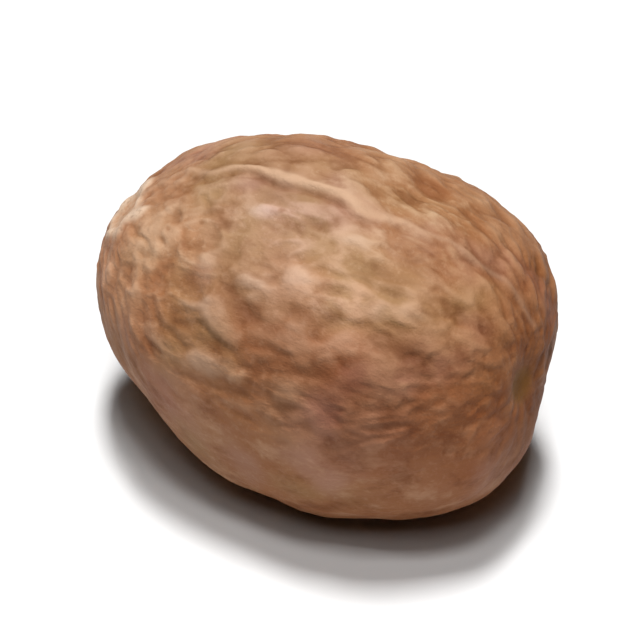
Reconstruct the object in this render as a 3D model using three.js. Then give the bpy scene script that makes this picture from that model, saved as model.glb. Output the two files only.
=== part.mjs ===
// A whole nutmeg: the dried kernel of a nutmeg seed, lying on its side.
// It is an egg-shaped seed, narrower at the end with the hilum, a raised scar, and blunter at
// the end with the chalaza, a small dimple. The raphe, a fine seam, joins the two over the top.
// Its dry skin has shrunk into lengthwise wrinkles and furrows that gather at both marks.
// Millimetres, +X along the seed towards the blunt end, +Z up, origin under it on the table.
import * as THREE from "three";
import { mergeVertices } from "three/addons/utils/BufferGeometryUtils.js";

const { lerp, smoothstep } = THREE.MathUtils;

// Driving dimensions, in millimetres: the smooth egg, before its relief.
const LENGTH = 25;
const WIDTH = 18.3;
const HEIGHT = 17.9;
// How much of the round underside the flat spot takes off.
const FLAT_DEPTH = 0.35;

// Fullness of each end: 2 is an ellipsoid, and more is blunter.
const NARROW_END_POWER = 1.95;
const BLUNT_END_POWER = 2.45;

// Heights and depths of the relief, in millimetres.
const BROAD_LUMP = 0.5;
const SMALL_LUMP = 0.26;
const ISLAND_HEIGHT = 0.15;
const WRINKLE_HEIGHT = 0.12;
const HILUM_RIM = 0.26;
const HILUM_HOLLOW = 0.1;
const CHALAZA_DEPTH = 0.42;
const RAPHE_LIP = 0.17;
const RAPHE_GROOVE = 0.14;

// Broad rises and flats of the egg: the direction each faces, how far it spreads and its rise.
const SWELLS = [
  { at: [0.6, 0.66, 0.45], spread: 0.4, rise: 0.5 },
  { at: [0.9, 0.4, -0.12], spread: 0.34, rise: -0.6 },
  { at: [-0.56, -0.7, -0.45], spread: 0.34, rise: -0.3 },
  { at: [0.8, -0.02, -0.6], spread: 0.36, rise: 0.3 },
  { at: [0, -0.68, -0.73], spread: 0.4, rise: 0.2 },
  { at: [-0.9, -0.08, 0.42], spread: 0.3, rise: -0.15 },
];

// Directions that the scar and the dimple face, and the radius of the scar's rim.
const HILUM_AT = [-0.79, -0.35, 0.52];
const CHALAZA_AT = [0.97, -0.02, 0.14];
const HILUM_RADIUS = 1.3;
// The scar is an oval: its width across the seed is this share of the distance, seen from it.
const HILUM_OVAL = 0.78;

// Rings of edges from one corner of the base icosahedron to the next.
const DETAIL = 22;

const HALF = new THREE.Vector3(LENGTH, WIDTH, HEIGHT).multiplyScalar(0.5);

// A repeatable random number of 32 bits for a lattice corner.
function latticeHash(x, y, z, seed) {
  let hash = Math.imul(x, 0x8da6b343) ^ Math.imul(y, 0xd8163841) ^ Math.imul(z, 0xcb1ab31f);
  hash ^= Math.imul(seed, 0x9e3779b1);
  hash ^= hash >>> 15;
  hash = Math.imul(hash, 0x2c1b3c6d);
  hash ^= hash >>> 12;
  hash = Math.imul(hash, 0x297a2d39);
  return hash ^ (hash >>> 15);
}

// A repeatable random vector for a lattice corner, each part from -1 to 1.
function latticeVector(x, y, z, seed) {
  const hash = latticeHash(x, y, z, seed);
  const parts = [hash & 1023, (hash >>> 10) & 1023, (hash >>> 20) & 1023];
  return new THREE.Vector3(...parts).divideScalar(511.5).subScalar(1);
}

// Smooth random noise about zero, with lumps about one unit apart.
function noise(place, seed) {
  const corner = place.clone().floor();
  const inside = place.clone().sub(corner);
  const ease = (t) => t * t * t * (t * (t * 6 - 15) + 10);
  let total = 0;
  for (const i of [0, 1]) {
    for (const j of [0, 1]) {
      for (const k of [0, 1]) {
        const slope = latticeVector(corner.x + i, corner.y + j, corner.z + k, seed);
        const weightX = i ? ease(inside.x) : 1 - ease(inside.x);
        const weightY = j ? ease(inside.y) : 1 - ease(inside.y);
        const weightZ = k ? ease(inside.z) : 1 - ease(inside.z);
        const arm = new THREE.Vector3(inside.x - i, inside.y - j, inside.z - k);
        total += weightX * weightY * weightZ * slope.dot(arm);
      }
    }
  }
  return total;
}

// Noise with lumps about a given size apart, in millimetres.
function skinNoise(point, size, seed) {
  return noise(point.clone().divideScalar(size), seed);
}

// How far a place is from the border of its random cell: 0 on the border. Cells are about
// one unit across.
function borderDistance(place, seed) {
  const corner = place.clone().floor();
  let first = Infinity;
  let second = Infinity;
  for (const i of [-1, 0, 1]) {
    for (const j of [-1, 0, 1]) {
      for (const k of [-1, 0, 1]) {
        const cell = new THREE.Vector3(corner.x + i, corner.y + j, corner.z + k);
        const middle = latticeVector(cell.x, cell.y, cell.z, seed);
        middle.multiplyScalar(0.5).addScalar(0.5).add(cell);
        const distance = middle.distanceTo(place);
        second = Math.min(second, Math.max(first, distance));
        first = Math.min(first, distance);
      }
    }
  }
  return second - first;
}

// Moves a place about by smooth noise, so that straight borders wander.
function wander(place, amount, seed) {
  const from = place.clone().multiplyScalar(0.9);
  const shift = new THREE.Vector3(noise(from, seed), noise(from, seed + 1), noise(from, seed + 2));
  return place.clone().addScaledVector(shift, amount);
}

// A bell that is 1 at zero and falls off over a width.
function bell(distance, width) {
  return Math.exp(-((distance / width) ** 2));
}

// The fullness of the egg at a direction, from one end's to the other's.
function endPower(direction) {
  return lerp(NARROW_END_POWER, BLUNT_END_POWER, smoothstep(direction.x, -0.6, 0.6));
}

// The smooth egg along a direction, as a point of unit half-sizes.
function unitEgg(direction) {
  const power = endPower(direction);
  const ring = Math.hypot(direction.y, direction.z);
  const reach = (Math.abs(direction.x) ** power + ring ** power) ** (-1 / power);
  return direction.clone().multiplyScalar(reach);
}

// The outward normal of the smooth egg.
function eggNormal(direction, unit) {
  const power = endPower(direction);
  const ring = Math.max(Math.hypot(unit.y, unit.z), 1e-9);
  const lengthwise = Math.sign(unit.x) * Math.abs(unit.x) ** (power - 1);
  const round = ring ** (power - 2);
  const slope = new THREE.Vector3(lengthwise, unit.y * round, unit.z * round);
  return slope.divide(HALF).normalize();
}

// The middles of the scar and the dimple on the egg of unit half-sizes.
const HILUM = unitEgg(new THREE.Vector3(...HILUM_AT).normalize());
const CHALAZA = unitEgg(new THREE.Vector3(...CHALAZA_AT).normalize());

// Where wrinkles are drawn: stretched along the seed and gathered towards both marks. They
// are spaced in millimetres, and they are longer near the narrow end.
function lengthwiseGrain(point, unit, spacing, stretch) {
  const towardsHilum = smoothstep(-unit.x, 0.15, -HILUM.x);
  const towardsChalaza = smoothstep(unit.x, 0.15, CHALAZA.x);
  const y = unit.y - towardsHilum * HILUM.y - towardsChalaza * CHALAZA.y;
  const z = unit.z - towardsHilum * HILUM.z - towardsChalaza * CHALAZA.z;
  const gather = Math.max(Math.hypot(y, z), 0.12) ** -0.5;
  const x = (point.x * (1 + 0.012 * point.x)) / stretch;
  return new THREE.Vector3(x, y * gather * HALF.y, z * gather * HALF.z).divideScalar(spacing);
}

// The broad swells and flats.
function swellHeight(direction) {
  let height = 0;
  for (const { at, spread, rise } of SWELLS) {
    const middle = new THREE.Vector3(...at).normalize();
    height += rise * bell(direction.distanceTo(middle), spread);
  }
  return height;
}

// Uneven lumps, broad ones and small ones.
function lumpHeight(point) {
  return BROAD_LUMP * skinNoise(point, 6.5, 11) + SMALL_LUMP * skinNoise(point, 3, 12);
}

// Islands of skin between wandering furrows that fade here and there, and are deeper in
// some regions.
function islandHeight(point, unit, region) {
  const place = wander(lengthwiseGrain(point, unit, 1.5, 2.5), 1.25, 31);
  const fading = noise(lengthwiseGrain(point, unit, 1.3, 1.4), 36);
  const furrow = bell(borderDistance(place, 41), 0.55) * lerp(0.3, 1, smoothstep(fading, -0.2, 0.12));
  return ISLAND_HEIGHT * (1 - furrow) * lerp(0.4, 1, smoothstep(region, -0.22, 0.2));
}

// Narrow raised wrinkles, strongest where the furrows are weak.
function wrinkleHeight(point, unit, region) {
  const place = wander(lengthwiseGrain(point, unit, 1.2, 2.8), 1.2, 45);
  const wrinkle = bell(noise(place, 48), 0.14);
  return WRINKLE_HEIGHT * wrinkle * lerp(0.35, 1, smoothstep(-region, -0.15, 0.25));
}

// How far the wrinkles stand out: less on the lower flanks.
function smootherBelow(point, unit) {
  const height = unit.z + 0.35 * skinNoise(point, 4, 93);
  return lerp(0.35, 1, smoothstep(height, -0.3, 0.45));
}

// Distance from the scar's middle, stretched into an uneven oval.
function distanceToHilum(point) {
  const away = HILUM.clone().multiply(HALF).sub(point);
  away.y *= HILUM_OVAL;
  return away.length() * (1 + 0.75 * skinNoise(point, 1.5, 71));
}

// Distance from the dimple's middle, made uneven.
function distanceToChalaza(point) {
  const away = CHALAZA.clone().multiply(HALF).sub(point);
  return away.length() * (1 + 0.5 * skinNoise(point, 1.5, 72));
}

// Distance across the raphe, which runs over the top from the hilum to the chalaza.
function acrossRaphe(point, unit) {
  const angle = Math.atan2(unit.y, unit.z);
  const line = -0.17 - 0.1 * unit.x ** 2 + 0.55 * unit.x ** 3;
  const ring = Math.hypot(unit.y, unit.z);
  return (angle - line) * ring * HALF.y + 0.8 * skinNoise(point, 2, 73);
}

// Where the raphe shows: between the two marks, most in the middle, and not underneath.
function rapheShows(point, unit, toHilum, toChalaza) {
  if (unit.z <= 0) {
    return 0;
  }
  const clearOfHilum = smoothstep(toHilum, 1, 2.2) * smoothstep(unit.x, -0.85, -0.7);
  const clearOfChalaza = smoothstep(toChalaza, 1.2, 2.8) * (1 - smoothstep(unit.x, 0.93, 0.98));
  return clearOfHilum * clearOfChalaza * lerp(0.3, 1, bell(unit.x, 0.38));
}

// The scar: an uneven raised rim round a shallow hollow.
function hilumHeight(point, toHilum) {
  const uneven = lerp(0.55, 1, smoothstep(skinNoise(point, 0.9, 75), -0.2, 0.25));
  const rim = bell(toHilum - HILUM_RADIUS, 0.42) * uneven;
  const hollow = 1 - smoothstep(toHilum, 0.5, HILUM_RADIUS);
  return HILUM_RIM * rim - HILUM_HOLLOW * hollow;
}

// All the relief above the smooth egg at a direction, in millimetres.
function reliefHeight(direction, unit, point) {
  const toHilum = distanceToHilum(point);
  const toChalaza = distanceToChalaza(point);
  const shows = rapheShows(point, unit, toHilum, toChalaza);
  const across = acrossRaphe(point, unit);
  const lip = shows * bell(across - 0.34, 0.28);
  const groove = shows * bell(across + 0.22, 0.24);
  const dimple = bell(toChalaza, 1.1);
  const openSkin = smoothstep(toHilum, 1.3, 2.4) * (1 - 0.85 * dimple) * (1 - 0.6 * groove);

  const region = skinNoise(point, 7.5, 21) + 0.6 * skinNoise(point, 3.6, 22);
  const wrinkled = islandHeight(point, unit, region) + wrinkleHeight(point, unit, region);
  let height = lumpHeight(point) + hilumHeight(point, toHilum);
  height += openSkin * smootherBelow(point, unit) * wrinkled;
  height += RAPHE_LIP * lip - RAPHE_GROOVE * groove - CHALAZA_DEPTH * dimple;
  // The relief dies out towards the spot that the seed lies on.
  const aboveBottom = point.z + HALF.z;
  return swellHeight(direction) + height * smoothstep(aboveBottom, 0.15, 1.6);
}

// A point of the finished skin, about the egg's middle.
function skinPoint(direction) {
  const unit = unitEgg(direction);
  const point = unit.clone().multiply(HALF);
  const height = reliefHeight(direction, unit, point);
  const skin = point.clone().addScaledVector(eggNormal(direction, unit), height);
  skin.z = Math.max(skin.z, FLAT_DEPTH - HALF.z);
  return skin;
}

function nutmegGeometry() {
  const sphere = new THREE.IcosahedronGeometry(1, DETAIL);
  sphere.deleteAttribute("normal");
  sphere.deleteAttribute("uv");
  const geometry = mergeVertices(sphere, 1e-5);
  const position = geometry.getAttribute("position");
  const direction = new THREE.Vector3();
  for (let i = 0; i < position.count; i += 1) {
    direction.fromBufferAttribute(position, i).normalize();
    const skin = skinPoint(direction);
    position.setXYZ(i, skin.x, skin.y, skin.z);
  }
  standOnOrigin(geometry);
  geometry.computeVertexNormals();
  return geometry;
}

// Puts the origin under the middle of the box, on the table.
function standOnOrigin(geometry) {
  geometry.computeBoundingBox();
  const middle = geometry.boundingBox.getCenter(new THREE.Vector3());
  geometry.translate(-middle.x, -middle.y, -geometry.boundingBox.min.z);
}

const skinMaterial = new THREE.MeshStandardMaterial({
  color: 0x9e7356,
  roughness: 0.6,
  metalness: 0,
});

const nutmeg = new THREE.Mesh(nutmegGeometry(), skinMaterial);
nutmeg.name = "nutmeg";

const group = new THREE.Group();
group.add(nutmeg);
export default group;
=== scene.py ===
"""A whole nutmeg lying on its side: the relief and colours of its skin, the light and camera."""
import math

import bpy
import numpy as np
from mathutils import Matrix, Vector


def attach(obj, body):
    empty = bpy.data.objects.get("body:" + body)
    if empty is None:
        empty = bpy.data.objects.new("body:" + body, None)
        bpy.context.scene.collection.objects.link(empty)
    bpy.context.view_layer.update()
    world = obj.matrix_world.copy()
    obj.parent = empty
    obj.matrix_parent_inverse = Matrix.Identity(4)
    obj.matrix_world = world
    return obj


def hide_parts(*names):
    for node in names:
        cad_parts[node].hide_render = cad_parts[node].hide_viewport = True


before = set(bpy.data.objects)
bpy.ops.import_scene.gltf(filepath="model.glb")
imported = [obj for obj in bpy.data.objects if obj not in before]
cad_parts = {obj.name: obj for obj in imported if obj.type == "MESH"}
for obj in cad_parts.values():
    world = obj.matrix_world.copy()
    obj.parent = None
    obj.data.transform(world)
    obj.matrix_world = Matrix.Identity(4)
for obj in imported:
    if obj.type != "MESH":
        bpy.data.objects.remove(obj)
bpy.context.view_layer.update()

MM = 0.001

# The part's own driving dimensions, in millimetres: the smooth egg, before its relief.
LENGTH = 25.0
WIDTH = 18.3
HEIGHT = 17.9
HALF = np.array([LENGTH, WIDTH, HEIGHT]) / 2
# How much of the round underside the flat spot takes off.
FLAT_DEPTH = 0.35

# Fullness of each end: 2 is an ellipsoid, and more is blunter.
NARROW_END_POWER = 1.95
BLUNT_END_POWER = 2.45

# Heights and depths of the part's own relief, in millimetres.
BROAD_LUMP = 0.5
SMALL_LUMP = 0.26
ISLAND_HEIGHT = 0.15
WRINKLE_HEIGHT = 0.12
HILUM_RIM = 0.26
HILUM_HOLLOW = 0.1
CHALAZA_DEPTH = 0.42
RAPHE_LIP = 0.17
RAPHE_GROOVE = 0.14

# Directions that the scar and the dimple face, the radius of the scar's rim, and how wide the
# rim and the dimple are, in millimetres.
HILUM_AT = (-0.79, -0.35, 0.52)
CHALAZA_AT = (0.97, -0.02, 0.14)
HILUM_RADIUS = 1.3
HILUM_RIM_WIDTH = 0.42
CHALAZA_WIDTH = 1.1
# The scar is an oval: a distance across the seed counts for this share of itself.
HILUM_OVAL = 0.78

# The raphe's lip and groove: how far each lies beside its line and how wide it is, in
# millimetres.
LIP_AT = 0.34
LIP_WIDTH = 0.28
GROOVE_AT = -0.22
GROOVE_WIDTH = 0.24

# Broad rises and flats: the direction each faces, how far it spreads, and its rise in
# millimetres.
SWELLS = [
    ((0.6, 0.66, 0.45), 0.4, 0.5),
    ((0.9, 0.4, -0.12), 0.34, -0.6),
    ((-0.56, -0.7, -0.45), 0.34, -0.3),
    ((0.8, -0.02, -0.6), 0.36, 0.3),
    ((0.0, -0.68, -0.73), 0.4, 0.2),
    ((-0.9, -0.08, 0.42), 0.3, -0.15),
]

# Heights and depths of the fine relief, which only this skin has, in millimetres.
FURROW_DEPTH = 0.06
FINE_ISLAND = 0.045
FINE_FURROW = 0.02
KNOB_HEIGHT = 0.08
CREASE_DEPTH = 0.012
PIT_DEPTH = 0.06
GRAIN_HEIGHT = 0.018

# How far apart the wrinkles of each kind lie, in millimetres.
ISLAND_SPACING = 1.5
WRINKLE_SPACING = 1.2
FINE_ISLAND_SPACING = 0.85
KNOB_SPACING = 1.1
CREASE_SPACING = 0.6
PIT_SPACING = 0.68
GRAIN_SPACING = 0.3

# Single bumps and dents: the direction each faces, how far it spreads, and its rise in
# millimetres.
BUMPS = [
    ((-0.08, -0.38, 0.92), 0.05, 0.16),
    ((0.05, -0.71, 0.7), 0.055, 0.16),
    ((0.21, -0.6, 0.77), 0.045, 0.14),
    ((-0.1, -0.84, 0.53), 0.06, 0.14),
    ((-0.02, -0.96, 0.28), 0.08, 0.16),
    ((0.33, -0.32, 0.89), 0.06, 0.12),
    ((0.51, -0.53, 0.67), 0.06, 0.12),
    ((0.62, -0.42, 0.66), 0.06, 0.12),
    ((0.1, -0.79, 0.61), 0.06, -0.13),
    ((-0.24, -0.77, 0.58), 0.06, -0.13),
    ((-0.2, -0.88, 0.42), 0.06, -0.12),
    ((-0.02, -0.92, 0.38), 0.06, -0.14),
    ((0.3, -0.71, 0.64), 0.06, -0.12),
    ((0.6, -0.58, 0.56), 0.07, -0.14),
    ((0.71, -0.52, 0.47), 0.07, -0.15),
    ((0.71, -0.28, 0.64), 0.05, -0.12),
    ((0.73, 0.03, 0.68), 0.05, -0.12),
    ((0.83, 0.08, 0.56), 0.05, -0.12),
    ((-0.57, -0.7, 0.43), 0.06, -0.12),
]
# They are drawn out along the seed, where a distance counts for this share of itself, and
# their edges are this ragged.
BUMP_DRAWN_OUT = 0.7
BUMP_RAGGED = 0.05

# Quads along each edge of the cube that the skin is blown up from.
GRID = 128
# Empty border round each side of that cube in its cell of the UV map, as a share of the cell.
CHART_MARGIN = 0.01

# Colours, as linear RGB.
TAN = (0.27, 0.127, 0.06)
WARM = (0.235, 0.09, 0.036)
OLIVE = (0.24, 0.12, 0.049)
PINK = (0.27, 0.125, 0.074)
DUST = (0.4, 0.22, 0.123)
DEEP = (0.1, 0.037, 0.013)
DIMPLE = (0.17, 0.075, 0.013)
PALE = (0.44, 0.28, 0.18)
CREAM = (0.6, 0.45, 0.33)

# Broad mottling over the tan: each brown, the lumps a millimetre and the shift of its noise,
# and the values of the noise where it starts and where it is full.
MOTTLING = [
    (WARM, 0.16, 0, 0.38, 0.62),
    (OLIVE, 0.13, 31, 0.48, 0.68),
    (PINK, 0.17, 57, 0.5, 0.68),
]

# What a full stain multiplies the colour by.
STAIN = (0.56, 0.41, 0.29)
# Where the skin is stained: the mask, its values where the stain starts and where it is fullest,
# and how full it gets.
STAINED = [
    ("level", 0.05, -0.08, 0.3),
    ("bump", -0.03, -0.14, 0.56),
    ("furrow", 0.2, 1, 0.32),
    ("fine_furrow", 0.3, 1, 0.1),
    ("pit", 0.15, 0.7, 0.5),
]

# Patches where the colour differs from the rest, some of them painted light: the direction each
# faces, how far it spreads, and what it multiplies the colour by.
COLOUR_PATCHES_AND_PAINTED_LIGHT = [
    # Paler on top: partly paler skin, partly painted light from above.
    ((-0.15, -0.35, 0.92), 0.65, (1.22, 1.46, 1.76)),
    ((1.0, 0.1, 0.1), 0.47, (0.79, 0.63, 0.45)),
    ((0.88, 0.33, 0.35), 0.33, (0.84, 0.71, 0.6)),
    # Paler on the left flank, towards the front: painted light bounced from the floor.
    ((-0.7, -0.68, 0.25), 0.4, (1.28, 1.34, 1.42)),
    # Paler low on the front: painted light bounced up from the floor.
    ((0.3, -0.9, -0.3), 0.55, (1.22, 1.34, 1.42)),
    ((0.82, -0.5, -0.22), 0.25, (1.22, 1.28, 1.4)),
    ((0.6, -0.79, 0.12), 0.28, (0.84, 0.73, 0.75)),
    ((0.96, -0.29, -0.04), 0.25, (0.95, 0.78, 0.65)),
    ((0.54, -0.76, 0.34), 0.25, (0.7, 0.6, 0.55)),
    ((0.39, -0.62, 0.68), 0.19, (1.26, 1.33, 1.48)),
    ((0.7, -0.45, 0.55), 0.22, (0.8, 0.74, 0.66)),
    ((0.14, -0.78, 0.6), 0.25, (0.8, 0.76, 0.76)),
    ((-0.38, -0.66, 0.64), 0.24, (1.14, 1.27, 1.32)),
    ((0.42, 0.1, 0.9), 0.38, (1.04, 1.18, 1.18)),
    ((-0.33, -0.12, 0.93), 0.24, (0.82, 0.8, 0.74)),
    ((0.2, -0.22, 0.95), 0.14, (0.9, 0.84, 0.92)),
    # Paler along the left side: painted rim light.
    ((-0.86, -0.5, 0.05), 0.3, (1.18, 1.24, 1.36)),
    ((-0.08, -0.23, 0.97), 0.12, (0.8, 0.74, 0.74)),
    ((0.03, -0.4, 0.92), 0.16, (1.1, 1.08, 1.3)),
    # Paler low on the front: painted light bounced up from the floor.
    ((0.45, -0.88, -0.14), 0.25, (1.14, 1.14, 1.14)),
    ((-0.2, -0.98, -0.05), 0.2, (1.18, 1.14, 1.24)),
    ((-0.13, 0.17, 0.98), 0.16, (0.86, 0.78, 0.8)),
]

# The skin's gloss, and the heights of the fine bump that its material adds, in millimetres.
SPECULAR = 0.1
LEAST_ROUGHNESS = 0.5
ROUGHNESS_RANGE = 0.25
GRIT_HEIGHT = 0.045
FIBRE_HEIGHT = 0.06

# The floor: its colour, its roughness and its width in metres.
FLOOR_GREY = (0.65, 0.65, 0.65)
FLOOR_ROUGHNESS = 0.6
FLOOR_SIZE = 3

# Soft lamps: how far off they are in metres, then each one's name, azimuth and elevation in
# degrees, sides in metres and watts.
LAMP_DISTANCE = 0.6
LAMPS = [
    ("overhead", 35, 89, (0.085, 0.155), 4.6),
    ("front", 35, 69, (0.1, 0.1), 1.43),
    ("fill", 30, 55, (0.14, 0.14), 0.44),
]

# The camera: angles in degrees, lengths in metres, and the lens in millimetres.
CAMERA_AZIMUTH = 35
CAMERA_ELEVATION = 36
CAMERA_DISTANCE = 0.15
CAMERA_AIM_HEIGHT = 8.5 * MM
CAMERA_CLIP_START = 0.005
CAMERA_LENS = 166


# ---- Numbers for the form: every function takes arrays with one row a point. ----
# The last number that a noise takes is its seed.

def smoothstep(value, low, high):
    """Rises smoothly from 0 at low to 1 at high."""
    share = np.clip((value - low) / (high - low), 0, 1)
    return share * share * (3 - 2 * share)


def bell(distance, width):
    """A bell that is 1 at zero and falls off over a width."""
    return np.exp(-((distance / width) ** 2))


def lattice_vector(corner, seed):
    """A repeatable random vector for each lattice corner, each part from -1 to 1."""
    x, y, z = (corner[:, i].astype(np.uint32) for i in range(3))
    # A hash of 32 bits, the same one as the part's.
    with np.errstate(over="ignore"):
        bits = x * np.uint32(0x8DA6B343) ^ y * np.uint32(0xD8163841) ^ z * np.uint32(0xCB1AB31F)
        bits ^= np.uint32(seed * 0x9E3779B1 & 0xFFFFFFFF)
        bits ^= bits >> np.uint32(15)
        bits *= np.uint32(0x2C1B3C6D)
        bits ^= bits >> np.uint32(12)
        bits *= np.uint32(0x297A2D39)
        bits ^= bits >> np.uint32(15)
    parts = [(bits >> np.uint32(shift)) & np.uint32(1023) for shift in (0, 10, 20)]
    return np.stack(parts, -1) / 511.5 - 1


def noise(place, seed):
    """Smooth random noise about zero, with lumps about one unit apart."""
    corner = np.floor(place)
    inside = place - corner
    corner = corner.astype(np.int64)
    ease = inside ** 3 * (inside * (inside * 6 - 15) + 10)
    total = np.zeros(len(place))
    for step in np.ndindex(2, 2, 2):
        weight = np.where(step, ease, 1 - ease).prod(axis=1)
        total += weight * (lattice_vector(corner + step, seed) * (inside - step)).sum(axis=1)
    return total


def nearest_two(place, seed):
    """Distances to the nearest and second nearest of the random points, one a unit cell."""
    corner = np.floor(place).astype(np.int64)
    first = np.full(len(place), np.inf)
    second = np.full(len(place), np.inf)
    for step in np.ndindex(3, 3, 3):
        cell = corner + np.array(step) - 1
        middle = lattice_vector(cell, seed) * 0.5 + 0.5 + cell
        distance = np.linalg.norm(middle - place, axis=1)
        second = np.minimum(second, np.maximum(first, distance))
        first = np.minimum(first, distance)
    return first, second


def border_distance(place, seed):
    """How far each place is from the border of its random cell: 0 on the border."""
    first, second = nearest_two(place, seed)
    return second - first


def noise_vector(place, seed):
    """Smooth random vectors, from three noises."""
    return np.stack([noise(place, seed + i) for i in range(3)], -1)


def wander(place, amount, seed, scale=0.9):
    """Moves places about by smooth noise, so that straight borders wander."""
    return place + amount * noise_vector(place * scale, seed)


# ---- The seed's form. ----

def smooth_egg(direction):
    """The smooth egg along each direction, as points of unit half-sizes, with its normals."""
    ring = np.hypot(direction[:, 1], direction[:, 2])
    share = smoothstep(direction[:, 0], -0.6, 0.6)
    power = NARROW_END_POWER + (BLUNT_END_POWER - NARROW_END_POWER) * share
    reach = (np.abs(direction[:, 0]) ** power + ring ** power) ** (-1 / power)
    unit = direction * reach[:, None]
    unit_ring = np.maximum(np.hypot(unit[:, 1], unit[:, 2]), 1e-9)
    lengthwise = np.sign(unit[:, 0]) * np.abs(unit[:, 0]) ** (power - 1)
    round_part = unit[:, 1:] * (unit_ring ** (power - 2))[:, None]
    normal = np.column_stack([lengthwise, round_part]) / HALF
    return unit, normal / np.linalg.norm(normal, axis=1)[:, None]


def unit_direction(at):
    """A direction of length 1, as an array of one row."""
    return np.array([at]) / np.linalg.norm(at)


def on_egg(at):
    """The middle of a mark on the egg of unit half-sizes."""
    unit, _ = smooth_egg(unit_direction(at))
    return unit[0]


HILUM = on_egg(HILUM_AT)
CHALAZA = on_egg(CHALAZA_AT)


def lengthwise_grain(point, unit, spacing, stretch):
    """Where wrinkles are drawn: stretched along the seed and gathered towards both marks.

    They are spaced in millimetres, and they are longer near the narrow end.
    """
    towards_hilum = smoothstep(-unit[:, 0], 0.15, -HILUM[0])[:, None] * HILUM[1:]
    towards_chalaza = smoothstep(unit[:, 0], 0.15, CHALAZA[0])[:, None] * CHALAZA[1:]
    across = unit[:, 1:] - towards_hilum - towards_chalaza
    gather = np.maximum(np.hypot(across[:, 0], across[:, 1]), 0.12) ** -0.5
    x = point[:, 0] * (1 + 0.012 * point[:, 0]) / stretch
    return np.column_stack([x, across * gather[:, None] * HALF[1:]]) / spacing


def swell_height(direction):
    """The broad swells and flats."""
    height = np.zeros(len(direction))
    for at, spread, rise in SWELLS:
        height += rise * bell(np.linalg.norm(direction - unit_direction(at), axis=1), spread)
    return height


def lump_height(point):
    """Uneven lumps, broad ones and small ones."""
    return BROAD_LUMP * noise(point / 6.5, 11) + SMALL_LUMP * noise(point / 3, 12)


def islands(point, unit, region):
    """Islands between wandering furrows, which fade here and there. Returns the furrows too."""
    place = wander(lengthwise_grain(point, unit, ISLAND_SPACING, 2.5), 1.25, 31)
    edge = border_distance(place, 41)
    fading = noise(lengthwise_grain(point, unit, 1.3, 1.4), 36)
    breaks = 0.3 + 0.7 * smoothstep(fading, -0.2, 0.12)
    furrow = bell(edge, 0.15) * breaks
    height = ISLAND_HEIGHT * (1 - bell(edge, 0.55) * breaks) - FURROW_DEPTH * furrow
    strength = 0.4 + 0.6 * smoothstep(region, -0.22, 0.2)
    return height * strength, furrow


def wrinkle_height(point, unit, region):
    """Narrow raised wrinkles, strongest where the furrows are weak."""
    wave = noise(wander(lengthwise_grain(point, unit, WRINKLE_SPACING, 2.8), 1.2, 45), 48)
    wrinkle = bell(wave, 0.09) * (0.35 + 0.65 * smoothstep(-region, -0.15, 0.25))
    return WRINKLE_HEIGHT * wrinkle


def main_wrinkles(point, unit):
    """The islands and the raised wrinkles. Returns the furrows as well."""
    region = noise(point / 7.5, 21) + 0.6 * noise(point / 3.6, 22)
    height, furrow = islands(point, unit, region)
    return height + wrinkle_height(point, unit, region), furrow


def fine_islands(point, unit):
    """Smaller islands and furrows on the main ones. Returns the furrows too."""
    place = wander(lengthwise_grain(point, unit, FINE_ISLAND_SPACING, 1.4), 1.2, 51)
    edge = border_distance(place, 61)
    breaks = smoothstep(noise(point / 1.6, 56), -0.15, 0.15)
    furrow = bell(edge, 0.18) * breaks
    return FINE_ISLAND * (1 - bell(edge, 0.5) * breaks) - FINE_FURROW * furrow, furrow


def creases(point, unit):
    """Thin creases that wander along the seed, each 1 at its bottom."""
    place = wander(lengthwise_grain(point, unit, CREASE_SPACING, 1.7), 0.9, 81)
    return bell(noise(place, 84), 0.075)


def pits(point, unit):
    """Small pits in groups, each 1 at its bottom."""
    place = wander(lengthwise_grain(point, unit, PIT_SPACING, 1.5), 0.5, 86, 1)
    near, _ = nearest_two(place, 87)
    pitted = noise(point / 1.9, 88) + 0.5 * noise(point / 0.8, 89)
    return bell(near, 0.26) * smoothstep(pitted, 0.14, 0.28)


def fine_wrinkles(point, unit):
    """The fine relief of this skin alone. Returns its furrows and pits as well."""
    height, furrow = fine_islands(point, unit)
    pit = pits(point, unit)
    height += KNOB_HEIGHT * noise(lengthwise_grain(point, unit, KNOB_SPACING, 1.2), 92)
    height -= CREASE_DEPTH * creases(point, unit) + PIT_DEPTH * pit
    return height, furrow, pit


def smoother_below(point, unit):
    """How far the wrinkles stand out: less on the lower flanks."""
    height = unit[:, 2] + 0.35 * noise(point / 4, 93)
    return 0.35 + 0.65 * smoothstep(height, -0.3, 0.45)


def single_bumps(direction, point):
    """The single bumps and dents, drawn out along the seed and ragged at their edges."""
    ragged = direction + BUMP_RAGGED * noise_vector(point / 0.8, 97)
    height = np.zeros(len(direction))
    for at, spread, rise in BUMPS:
        away = (ragged - unit_direction(at)) * (BUMP_DRAWN_OUT, 1, 1)
        height += rise * bell(np.linalg.norm(away, axis=1), spread)
    return height


def patch_colour_and_painted_light(direction, point):
    """What the patches multiply the skin's colour by: real colour in some, painted light in
    others.
    """
    shift = 0.6 * noise_vector(point / 2.2, 94)
    tint_and_painted_light = np.ones_like(direction)
    for at, spread, times in COLOUR_PATCHES_AND_PAINTED_LIGHT:
        away = direction + spread * shift - unit_direction(at)
        share = bell(np.linalg.norm(away, axis=1), spread)
        tint_and_painted_light *= 1 + share[:, None] * (np.array(times) - 1)
    return tint_and_painted_light


def across_raphe(point, unit):
    """Distance across the raphe, which runs over the top from the hilum to the chalaza."""
    angle = np.arctan2(unit[:, 1], unit[:, 2])
    line = -0.17 - 0.1 * unit[:, 0] ** 2 + 0.55 * unit[:, 0] ** 3
    ring = np.hypot(unit[:, 1], unit[:, 2])
    return (angle - line) * ring * HALF[1] + 0.8 * noise(point / 2, 73)


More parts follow.
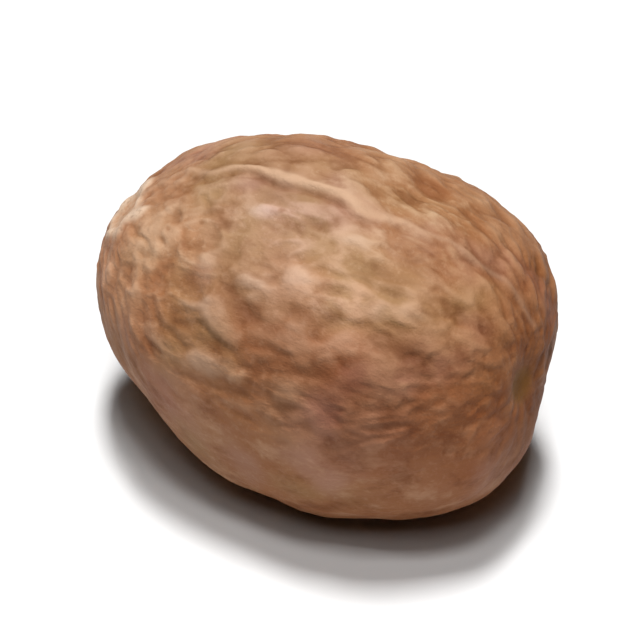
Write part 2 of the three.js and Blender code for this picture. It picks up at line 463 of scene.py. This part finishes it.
def raphe_shows(unit, to_hilum, to_chalaza):
    """Where the raphe shows: between the two marks, most in the middle, and not underneath."""
    clear_of_hilum = smoothstep(to_hilum, 1, 2.2) * smoothstep(unit[:, 0], -0.85, -0.7)
    clear_of_chalaza = smoothstep(to_chalaza, 1.2, 2.8) * (1 - smoothstep(unit[:, 0], 0.93, 0.98))
    strength = 0.3 + 0.7 * bell(unit[:, 0], 0.38)
    return clear_of_hilum * clear_of_chalaza * strength * (unit[:, 2] > 0)


def raphe(point, unit, to_hilum, to_chalaza):
    """The raphe's lip and its groove, each 1 where it is strongest."""
    shows = raphe_shows(unit, to_hilum, to_chalaza)
    across = across_raphe(point, unit)
    lip = shows * bell(across - LIP_AT, LIP_WIDTH)
    groove = shows * bell(across - GROOVE_AT, GROOVE_WIDTH)
    return lip, groove


def distance_to_hilum(point):
    """Distance from the scar's middle, stretched into an uneven oval."""
    away = (point - HILUM * HALF) * (1, HILUM_OVAL, 1)
    return np.linalg.norm(away, axis=1) * (1 + 0.75 * noise(point / 1.5, 71))


def distance_to_chalaza(point):
    """Distance from the dimple's middle, made uneven."""
    away = np.linalg.norm(point - CHALAZA * HALF, axis=1)
    return away * (1 + 0.5 * noise(point / 1.5, 72))


def hilum_height(point, to_hilum):
    """The scar: an uneven raised rim round a shallow hollow. Returns the rim as well."""
    uneven = 0.55 + 0.45 * smoothstep(noise(point / 0.9, 75), -0.2, 0.25)
    rim = bell(to_hilum - HILUM_RADIUS, HILUM_RIM_WIDTH) * uneven
    hollow = 1 - smoothstep(to_hilum, 0.5, HILUM_RADIUS)
    return HILUM_RIM * rim - HILUM_HOLLOW * hollow, rim


def scar_mask(point, to_hilum):
    """Where the scar's pale skin shows, with a ragged border."""
    ragged = to_hilum * (1 + 0.35 * noise(point / 0.7, 77))
    return 1 - smoothstep(ragged, 1.0, 2.3)


def soften(values, quads, rounds):
    """Evens values out between neighbouring corners, so that no single one sticks out."""
    beside = 2 * np.bincount(quads.ravel())
    for _ in range(rounds):
        corner = values[quads]
        near = np.roll(corner, 1, axis=1) + np.roll(corner, -1, axis=1)
        values = (values + np.bincount(quads.ravel(), near.ravel()) / beside) / 2
    return values


def skin(direction, quads):
    """The finished skin along each direction, in millimetres, with its masks and its tint, part
    of which is painted light.
    """
    unit, normal = smooth_egg(direction)
    point = unit * HALF
    to_hilum = distance_to_hilum(point)
    to_chalaza = distance_to_chalaza(point)
    lip, groove = raphe(point, unit, to_hilum, to_chalaza)
    dimple = bell(to_chalaza, CHALAZA_WIDTH)
    scar_height, scar_rim = hilum_height(point, to_hilum)
    worn = smoother_below(point, unit)
    main, furrow = main_wrinkles(point, unit)
    bump = single_bumps(direction, point)
    fine, fine_furrow, pit = fine_wrinkles(point, unit)
    wrinkled = (main + bump + fine * worn) * worn
    grain = GRAIN_HEIGHT * noise(lengthwise_grain(point, unit, GRAIN_SPACING, 1.3), 91)

    # The wrinkles fade out at the scar, the dimple and the raphe's groove.
    open_skin = smoothstep(to_hilum, 1.3, 2.4) * (1 - 0.85 * dimple) * (1 - 0.6 * groove)
    height = lump_height(point) + wrinkled * open_skin + scar_height + grain
    height += RAPHE_LIP * lip - RAPHE_GROOVE * groove - CHALAZA_DEPTH * dimple
    # The relief dies out towards the spot that the seed lies on.
    height *= smoothstep(point[:, 2] + HALF[2], 0.15, 1.6)
    height = soften(height, quads, 2)
    skin_point = point + normal * (swell_height(direction) + height)[:, None]
    skin_point[:, 2] = np.maximum(skin_point[:, 2], FLAT_DEPTH - HALF[2])
    masks = {
        "level": wrinkled + grain,
        "bump": bump,
        "furrow": furrow * worn,
        "fine_furrow": fine_furrow * worn,
        "pit": pit * worn,
        "scar": scar_mask(point, to_hilum),
        "scar_rim": scar_rim,
        "dimple": dimple,
        "raphe_lip": lip,
        "raphe_groove": groove,
    }
    masks = {name: soften(values, quads, 1) for name, values in masks.items()}
    return skin_point, masks, patch_colour_and_painted_light(direction, point)


# ---- The mesh. ----

def blown_up_cube(grid):
    """Directions and quads of a cube blown up to a sphere, and the quads' corners in a UV map."""
    step = np.tan(np.linspace(-1, 1, grid + 1) * math.pi / 4)
    a, b = np.meshgrid(step, step, indexing="ij")
    one = np.ones_like(a)
    sides = [(one, a, b), (-one, b, a), (b, one, a), (a, -one, b), (a, b, one), (b, a, -one)]
    i, j = np.meshgrid(np.arange(grid), np.arange(grid), indexing="ij")
    across = np.stack([i, i + 1, i + 1, i], -1).reshape(-1, 4)
    up = np.stack([j, j, j + 1, j + 1], -1).reshape(-1, 4)
    directions, quads, charts = [], [], []
    for index, side in enumerate(sides):
        direction = np.stack(side, -1).reshape(-1, 3)
        directions.append(direction / np.linalg.norm(direction, axis=1)[:, None])
        quads.append(across * (grid + 1) + up + index * (grid + 1) ** 2)
        charts.append(chart_corners(index, np.stack([across, up], -1) / grid))
    directions = np.concatenate(directions)
    # Corners that two or three sides share become one.
    rounded = directions.round(7)
    _, first, joined = np.unique(rounded, axis=0, return_index=True, return_inverse=True)
    return directions[first], joined.ravel()[np.concatenate(quads)], np.concatenate(charts)


def chart_corners(index, corners):
    """Places one side of the cube in its own cell of the UV map, three across and two up."""
    cell = np.array([index % 3, index // 3])
    size = np.array([1 / 3, 1 / 2])
    return (cell + CHART_MARGIN + corners * (1 - 2 * CHART_MARGIN)) * size


def stand_on_origin(points):
    """Puts the origin under the middle of the box, as the part has it."""
    low, high = points.min(axis=0), points.max(axis=0)
    middle = (low + high) / 2
    return points - (middle[0], middle[1], low[2])


def quad_mesh(name, points, quads):
    """A smooth mesh of quads, from points in metres."""
    mesh = bpy.data.meshes.new(name)
    mesh.vertices.add(len(points))
    mesh.vertices.foreach_set("co", points.ravel())
    mesh.loops.add(quads.size)
    mesh.loops.foreach_set("vertex_index", quads.ravel())
    mesh.polygons.add(len(quads))
    mesh.polygons.foreach_set("loop_start", np.arange(0, quads.size, 4))
    mesh.update(calc_edges=True)
    mesh.validate()
    mesh.shade_smooth()
    return mesh


def nutmeg_object():
    """The whole nutmeg in one mesh, with its UV map, its masks and its material."""
    directions, quads, corners = blown_up_cube(GRID)
    points, masks, tint_and_painted_light = skin(directions, quads)
    mesh = quad_mesh("nutmeg_skin", stand_on_origin(points) * MM, quads)
    mesh.uv_layers.new(name="OFBake").uv.foreach_set("vector", corners.ravel())
    for name, values in masks.items():
        mesh.attributes.new(name, "FLOAT", "POINT").data.foreach_set("value", values)
    mesh.attributes.new("tint_and_painted_light", "FLOAT_VECTOR", "POINT").data.foreach_set("vector", tint_and_painted_light.ravel())
    mesh.materials.append(skin_material())
    nutmeg = bpy.data.objects.new("nutmeg_skin", mesh)
    bpy.context.scene.collection.objects.link(nutmeg)
    return nutmeg


# ---- Materials. ----

class Shader:
    """Short ways to add nodes to a new material."""

    def __init__(self, name):
        self.material = bpy.data.materials.new(name)
        self.material.use_nodes = True
        self.nodes = self.material.node_tree.nodes
        self.links = self.material.node_tree.links
        self.surface = self.nodes["Principled BSDF"]
        place = self.nodes.new("ShaderNodeTexCoord")
        # Places in millimetres, for the noises.
        self.millimetres = self.nodes.new("ShaderNodeMapping")
        self.millimetres.inputs["Scale"].default_value = (1 / MM, 1 / MM, 1 / MM)
        self.links.new(place.outputs["Object"], self.millimetres.inputs["Vector"])

    def put(self, socket, value):
        """Links another node's output to a socket, or sets a number or a colour on it."""
        if isinstance(value, bpy.types.NodeSocket):
            self.links.new(value, socket)
        elif isinstance(value, tuple):
            socket.default_value = (*value, 1)
        else:
            socket.default_value = value

    def attribute(self, name, output="Fac"):
        """Numbers or vectors that the mesh keeps at its corners."""
        node = self.nodes.new("ShaderNodeAttribute")
        node.attribute_name = name
        return node.outputs[output]

    def mask(self, name, low, high, top=1.0):
        """One of the mesh's masks as a share, from 0 at low to top at high."""
        return self.ramp(self.attribute(name), low, high, top)

    def math(self, operation, a, b):
        """The sum, product or the like of two numbers."""
        node = self.nodes.new("ShaderNodeMath")
        node.operation = operation
        self.put(node.inputs[0], a)
        self.put(node.inputs[1], b)
        return node.outputs["Value"]

    def ramp(self, value, low, high, top=1.0):
        """Rises smoothly from 0 at low to top at high."""
        node = self.nodes.new("ShaderNodeMapRange")
        node.interpolation_type = "SMOOTHSTEP"
        self.put(node.inputs["Value"], value)
        node.inputs["From Min"].default_value = low
        node.inputs["From Max"].default_value = high
        node.inputs["To Max"].default_value = top
        return node.outputs["Result"]

    def mix(self, share, a, b, blend="MIX"):
        """Colour a with a share of colour b mixed in, or multiplied in."""
        node = self.nodes.new("ShaderNodeMix")
        node.data_type = "RGBA"
        node.blend_type = blend
        self.put(node.inputs["Factor"], share)
        self.put(node.inputs[6], a)
        self.put(node.inputs[7], b)
        return node.outputs[2]

    def stain(self, share, colour):
        """A colour darkened by a share of the stain."""
        return self.mix(share, colour, STAIN, "MULTIPLY")

    def noise(self, scale, detail, roughness, shift, stretch=1.0):
        """Noise with so many lumps a millimetre, stretched along the seed."""
        place = self.nodes.new("ShaderNodeMapping")
        place.inputs["Location"].default_value = (shift, shift * 0.7, shift * 1.3)
        place.inputs["Scale"].default_value = (1 / stretch, 1, 1)
        self.links.new(self.millimetres.outputs["Vector"], place.inputs["Vector"])
        node = self.nodes.new("ShaderNodeTexNoise")
        node.inputs["Scale"].default_value = scale
        node.inputs["Detail"].default_value = detail
        node.inputs["Roughness"].default_value = roughness
        self.links.new(place.outputs["Vector"], node.inputs["Vector"])
        return node.outputs["Fac"]


def mottled_skin(shader):
    """Tan with broad patches of warm, olive and pinkish brown."""
    colour = TAN
    for brown, lumps, shift, low, high in MOTTLING:
        share = shader.ramp(shader.noise(lumps, 2, 0.5, shift), low, high)
        colour = shader.mix(share, colour, brown)
    return colour


def dusty_crests(shader, colour):
    """Dust on what stands up, as a bloom in patches and in fine specks, and paler bumps, whose
    pale is partly a painted highlight.
    """
    bloom = shader.noise(0.6, 5, 0.62, 41, 1.4)
    specks = shader.noise(3.2, 3, 0.6, 17)
    shares = [
        shader.mask("level", 0.04, 0.24, 0.6),
        shader.ramp(bloom, 0.5, 0.68, 0.4),
        shader.ramp(specks, 0.5, 0.72, 0.2),
    ]
    for share in shares:
        colour = shader.mix(share, colour, DUST)
    # The pale on the single bumps is partly a painted highlight.
    return shader.mix(shader.mask("bump", 0.03, 0.14, 0.3), colour, PALE)


def dark_furrows(shader, colour):
    """Furrows, dents, pits and blotches, all stained by the same warm brown."""
    for name, low, high, top in STAINED:
        colour = shader.stain(shader.mask(name, low, high, top), colour)
    blotch = shader.noise(0.6, 5, 0.62, 11, 1.4)
    return shader.stain(shader.ramp(blotch, 0.5, 0.7, 0.58), colour)


def scar_colour(shader):
    """Pale and dusty, with a cream rim and deep brown specks."""
    dust = shader.ramp(shader.noise(2.2, 3, 0.6, 23), 0.42, 0.62)
    specks = shader.ramp(shader.noise(4.2, 3, 0.6, 29), 0.55, 0.68, 0.35)
    colour = shader.mix(dust, PALE, DUST)
    colour = shader.mix(shader.mask("scar_rim", 0, 0.8, 0.85), colour, CREAM)
    return shader.mix(specks, colour, DEEP)


def marks(shader, colour):
    """The raphe, the pale scar and the dark dimple; the raphe's pale lip is partly a painted
    highlight.
    """
    # The raphe's pale lip: partly a painted highlight.
    colour = shader.mix(shader.mask("raphe_lip", 0, 0.8, 0.85), colour, PALE)
    colour = shader.stain(shader.mask("raphe_groove", 0, 1, 0.5), colour)
    colour = shader.mix(shader.mask("scar", 0, 1, 0.9), colour, scar_colour(shader))
    return shader.mix(shader.mask("dimple", 0.2, 0.8, 0.7), colour, DIMPLE)


def fine_bump(shader):
    """The normal of grit and of fibres along the seed, too fine for the mesh."""
    grit = shader.math("MULTIPLY", shader.noise(5, 4, 0.65, 3, 1.4), GRIT_HEIGHT)
    fibre = shader.math("MULTIPLY", shader.noise(1.9, 4, 0.62, 8, 1.6), FIBRE_HEIGHT)
    bump = shader.nodes.new("ShaderNodeBump")
    bump.inputs["Distance"].default_value = MM
    shader.put(bump.inputs["Height"], shader.math("ADD", grit, fibre))
    return bump.outputs["Normal"]


def skin_material():
    """The dry skin: mottled, dusty, stained and marked, with patches that differ, some of them
    painted light, and partly painted highlights on the pale bumps and the raphe's lip.
    """
    shader = Shader("nutmeg_skin")
    colour = dusty_crests(shader, mottled_skin(shader))
    # Multiplies in the patches' tint: part real colour, part painted light.
    colour = shader.mix(1, colour, shader.attribute("tint_and_painted_light", "Vector"), "MULTIPLY")
    colour = marks(shader, dark_furrows(shader, colour))
    uneven = shader.ramp(shader.noise(0.8, 3, 0.6, 5), 0, 1, ROUGHNESS_RANGE)
    roughness = shader.math("ADD", uneven, LEAST_ROUGHNESS)
    shader.put(shader.surface.inputs["Base Color"], colour)
    shader.put(shader.surface.inputs["Roughness"], roughness)
    shader.put(shader.surface.inputs["Normal"], fine_bump(shader))
    shader.surface.inputs["Specular IOR Level"].default_value = SPECULAR
    return shader.material


# ---- Floor, light and camera. ----

def toward(azimuth, elevation):
    """The unit vector towards an azimuth and an elevation: azimuth 0 is the -Y side."""
    turn = math.radians(azimuth)
    lift = math.radians(elevation)
    level = math.cos(lift)
    return Vector((math.sin(turn) * level, -math.cos(turn) * level, math.sin(lift)))


def aim(thing, place, target):
    """Adds a lamp or a camera to the scene at a place, facing a target."""
    thing.location = place
    thing.rotation_euler = (target - place).to_track_quat("-Z", "Y").to_euler()
    bpy.context.scene.collection.objects.link(thing)


def floor_object():
    """The plain pale surface that the nutmeg lies on."""
    bpy.ops.mesh.primitive_plane_add(size=FLOOR_SIZE)
    floor = bpy.context.object
    floor.name = "floor"
    material = bpy.data.materials.new("floor")
    material.use_nodes = True
    surface = material.node_tree.nodes["Principled BSDF"]
    surface.inputs["Base Color"].default_value = (*FLOOR_GREY, 1)
    surface.inputs["Roughness"].default_value = FLOOR_ROUGHNESS
    floor.data.materials.append(material)
    return floor


def add_lamp(name, azimuth, elevation, size, watts):
    """A soft lamp that faces the nutmeg's middle."""
    data = bpy.data.lights.new(name, "AREA")
    data.shape = "RECTANGLE"
    data.size, data.size_y = size
    data.energy = watts
    target = Vector((0, 0, HEIGHT / 2 * MM))
    aim(bpy.data.objects.new(name, data), toward(azimuth, elevation) * LAMP_DISTANCE, target)


def add_light():
    """Soft lamps in a dark world."""
    world = bpy.data.worlds.new("studio")
    bpy.context.scene.world = world
    world.use_nodes = True
    world.node_tree.nodes["Background"].inputs["Strength"].default_value = 0.0
    for lamp in LAMPS:
        add_lamp(*lamp)
    bpy.context.scene.view_settings.view_transform = "Standard"


def add_camera():
    """A long lens that looks down at the nutmeg."""
    data = bpy.data.cameras.new("camera")
    data.lens = CAMERA_LENS
    data.clip_start = CAMERA_CLIP_START
    camera = bpy.data.objects.new("camera", data)
    target = Vector((0, 0, CAMERA_AIM_HEIGHT))
    place = target + toward(CAMERA_AZIMUTH, CAMERA_ELEVATION) * CAMERA_DISTANCE
    aim(camera, place, target)
    bpy.context.scene.camera = camera


nutmeg = nutmeg_object()
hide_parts("nutmeg")
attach(nutmeg, "root")
floor_object()
add_light()
add_camera()
